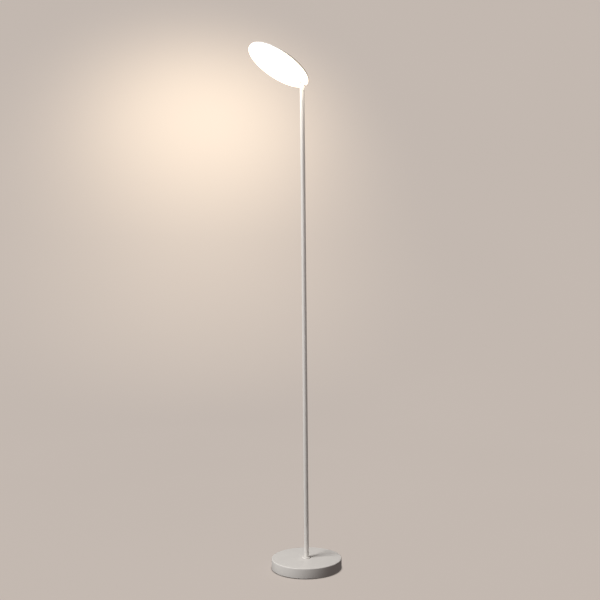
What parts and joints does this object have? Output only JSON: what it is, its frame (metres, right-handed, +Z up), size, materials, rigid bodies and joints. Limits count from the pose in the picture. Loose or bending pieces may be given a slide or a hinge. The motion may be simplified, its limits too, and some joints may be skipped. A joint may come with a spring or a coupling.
{
  "type": "led floor lamp",
  "caption": "Slim floor lamp: weighted round foot, straight sectional pole and a thin tilting, swivelling disc head with an edge-lit opal face.",
  "frame": {"origin": "centre of the foot's underside, on the floor, on the pole's axis", "axes": "+Z up along the pole; -Y towards the side where the head leans out at rest; +X along the tilt axle"},
  "size_m": [0.24, 0.3048, 1.779],
  "materials": {
    "white_coat": "off-white powder coat, fine satin texture",
    "white_aluminium": "pressed aluminium with the same off-white powder coat",
    "cast_iron": "as-cast, black wash",
    "zinc_steel": "zinc plated",
    "foot_rubber": "matt",
    "black_plastic": "fine moulded texture",
    "natural_plastic": "natural acetal, smooth",
    "board": "green solder mask",
    "component": "moulded components",
    "lead_jacket": "white flexible jacket",
    "contact_brass": "turned, bright",
    "opal": "opal face, lit warm white",
    "clear_guide": "clear, polished edges",
    "reflector": "white reflecting film",
    "foam": "closed-cell foam, as light as fabric",
    "led_phosphor": "white packages with warm phosphor"
  },
  "bodies": {
    "stand": {"base_cover": "white_coat", "base_weight": "cast_iron", "base_plate": "zinc_steel", "base_pad": "foot_rubber", "base_plate_screws": "zinc_steel", "foot_collar": "white_coat", "foot_stud": "zinc_steel", "foot_washer": "zinc_steel", "foot_lock_washer": "zinc_steel", "foot_nut": "zinc_steel", "dc_inlet": "black_plastic", "dc_centre_pin": "contact_brass", "dc_inlet_nut": "zinc_steel", "inlet_lead": "lead_jacket", "driver_case": "black_plastic", "driver_lid": "black_plastic", "driver_board": "board", "driver_components": "component", "lead_clip": "natural_plastic", "pole_lead": "lead_jacket", "pole_lower": "white_coat", "pole_middle": "white_coat", "pole_upper": "white_coat", "pole_insert_lower": "zinc_steel", "pole_insert_middle": "zinc_steel", "pole_insert_upper": "zinc_steel", "pole_joiner_lower": "zinc_steel", "pole_joiner_middle": "zinc_steel", "swivel_bush": "natural_plastic"},
    "swivel": {"tilt_knuckle": "white_coat", "swivel_stop_pin": "zinc_steel", "swivel_spring_washer": "zinc_steel", "swivel_nut": "zinc_steel", "tilt_axle": "zinc_steel", "friction_washer_left": "natural_plastic", "friction_washer_right": "natural_plastic", "tension_washer": "zinc_steel", "tension_screw": "zinc_steel", "knuckle_lead": "lead_jacket"},
    "head": {"head_housing": "white_aluminium", "hinge_block": "zinc_steel", "hinge_block_nuts": "zinc_steel", "backing_foam": "foam", "reflector_sheet": "reflector", "light_guide": "clear_guide", "diffuser": "opal", "led_strip": "reflector", "led_chips": "led_phosphor", "head_lead": "lead_jacket"}
  },
  "joints": [
    {"name": "head_swivel", "type": "hinge", "parent": "stand", "child": "swivel", "pos_m": [0, 0, 1.633], "axis": [0, 0, 1], "range_deg": [-150, 150]},
    {"name": "head_tilt", "type": "hinge", "parent": "swivel", "child": "head", "pos_m": [0, 0, 1.663], "axis": [-1, 0, 0], "range_deg": [-32, 148]}
  ]
}
